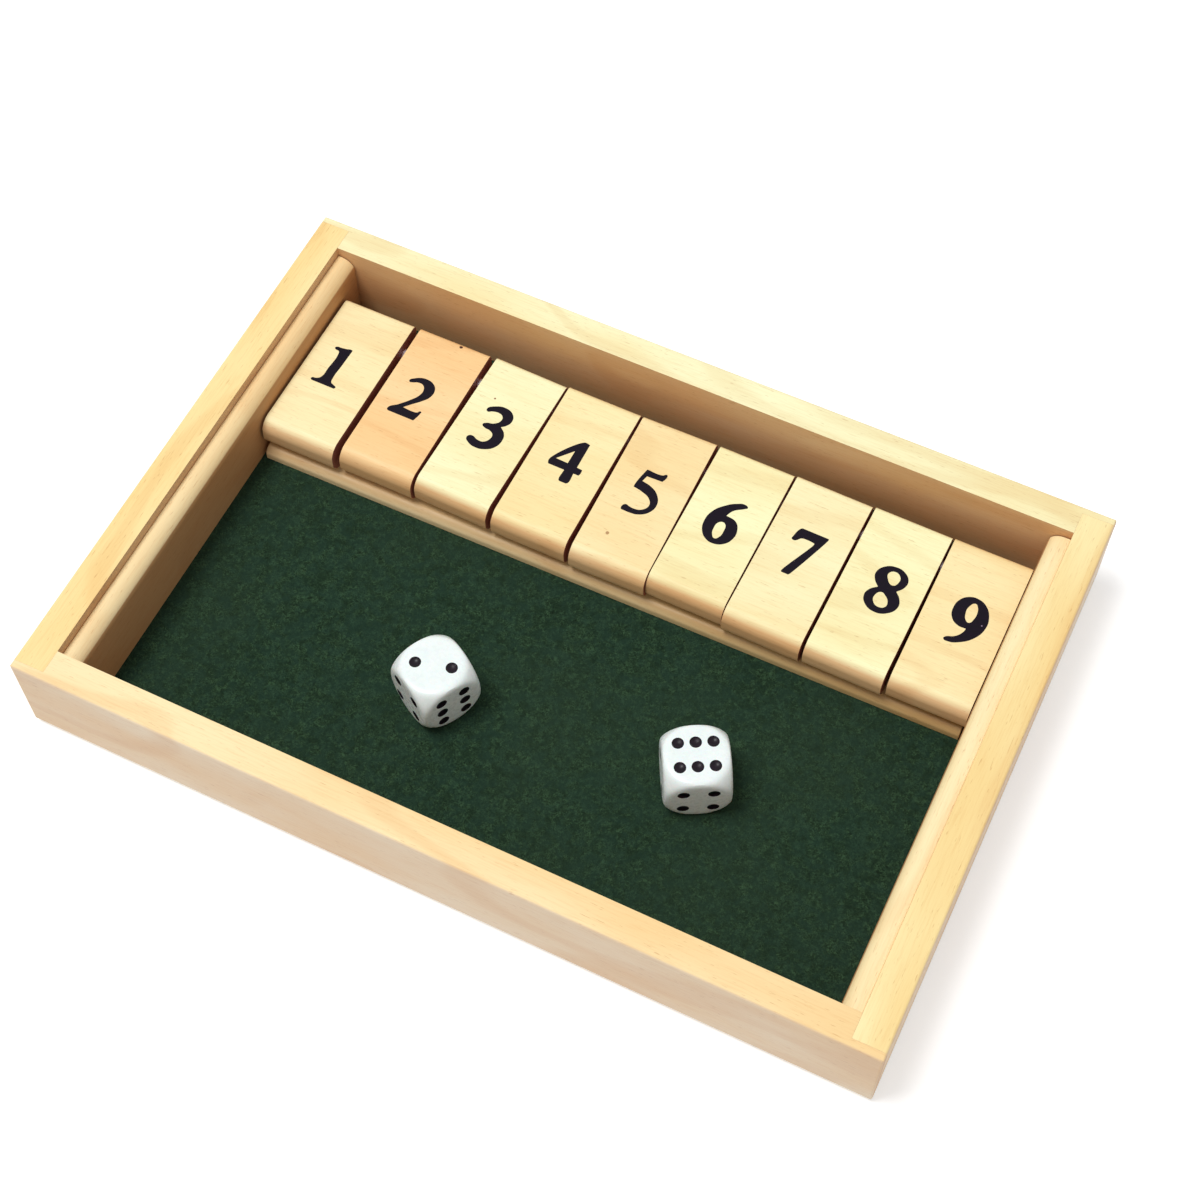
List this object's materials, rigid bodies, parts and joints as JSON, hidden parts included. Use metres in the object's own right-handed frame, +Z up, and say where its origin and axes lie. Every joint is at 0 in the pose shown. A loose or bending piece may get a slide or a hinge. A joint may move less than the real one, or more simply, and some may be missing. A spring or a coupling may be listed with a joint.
{
  "type": "shut the box game",
  "caption": "Shallow wooden game case with a felt tray, a row of numbered flap tiles hinged on a steel rod, and loose dice.",
  "frame": {"origin": "on the surface that the case stands on, under the middle of the case", "axes": "+X to the high-numbered end of the tiles, +Y to the back board where the tiles are hinged, +Z up"},
  "size_m": [0.216, 0.1476, 0.0276],
  "materials": {
    "case_wood": "pale maple-like wood with a matt lacquer",
    "rail_wood": "pale wood, matt lacquer",
    "tile_wood": "pale wood, matt lacquer, grain across the tile",
    "base_panel": "plain thin panel, unlacquered",
    "felt": "dark green felt",
    "steel": "bright drawn steel rod",
    "die_plastic": "glossy white with black pips",
    "ink": "dark printing ink of the numerals"
  },
  "bodies": {
    "case": {"front_board": "case_wood", "back_board": "case_wood", "left_board": "case_wood", "right_board": "case_wood", "base_panel": "base_panel", "felt_mat": "felt", "left_rail": "rail_wood", "right_rail": "rail_wood", "tile_rest": "rail_wood", "hinge_rod": "steel"},
    "tile_1": {"tile_1": "tile_wood"},
    "tile_2": {"tile_2": "tile_wood"},
    "tile_3": {"tile_3": "tile_wood"},
    "tile_4": {"tile_4": "tile_wood"},
    "tile_5": {"tile_5": "tile_wood"},
    "tile_6": {"tile_6": "tile_wood"},
    "tile_7": {"tile_7": "tile_wood"},
    "tile_8": {"tile_8": "tile_wood"},
    "tile_9": {"tile_9": "tile_wood"},
    "left_die": {"left_die": "die_plastic"},
    "right_die": {"right_die": "die_plastic"}
  },
  "joints": [
    {"name": "tile_1_flip", "type": "hinge", "parent": "case", "child": "tile_1", "pos_m": [0, 0.0521, 0.0132], "axis": [-1, 0, 0], "range_deg": [0, 118]},
    {"name": "tile_2_flip", "type": "hinge", "parent": "case", "child": "tile_2", "pos_m": [0, 0.0521, 0.0132], "axis": [-1, 0, 0], "range_deg": [0, 118]},
    {"name": "tile_3_flip", "type": "hinge", "parent": "case", "child": "tile_3", "pos_m": [0, 0.0521, 0.0132], "axis": [-1, 0, 0], "range_deg": [0, 118]},
    {"name": "tile_4_flip", "type": "hinge", "parent": "case", "child": "tile_4", "pos_m": [0, 0.0521, 0.0132], "axis": [-1, 0, 0], "range_deg": [0, 118]},
    {"name": "tile_5_flip", "type": "hinge", "parent": "case", "child": "tile_5", "pos_m": [0, 0.0521, 0.0132], "axis": [-1, 0, 0], "range_deg": [0, 118]},
    {"name": "tile_6_flip", "type": "hinge", "parent": "case", "child": "tile_6", "pos_m": [0, 0.0521, 0.0132], "axis": [-1, 0, 0], "range_deg": [0, 118]},
    {"name": "tile_7_flip", "type": "hinge", "parent": "case", "child": "tile_7", "pos_m": [0, 0.0521, 0.0132], "axis": [-1, 0, 0], "range_deg": [0, 118]},
    {"name": "tile_8_flip", "type": "hinge", "parent": "case", "child": "tile_8", "pos_m": [0, 0.0521, 0.0132], "axis": [-1, 0, 0], "range_deg": [0, 118]},
    {"name": "tile_9_flip", "type": "hinge", "parent": "case", "child": "tile_9", "pos_m": [0, 0.0521, 0.0132], "axis": [-1, 0, 0], "range_deg": [0, 118]},
    {"name": "left_die_lift", "type": "slide", "parent": "case", "child": "left_die", "axis": [0, 0, 1], "range_m": [0, 0.06]},
    {"name": "right_die_lift", "type": "slide", "parent": "case", "child": "right_die", "axis": [0, 0, 1], "range_m": [0, 0.06]}
  ]
}
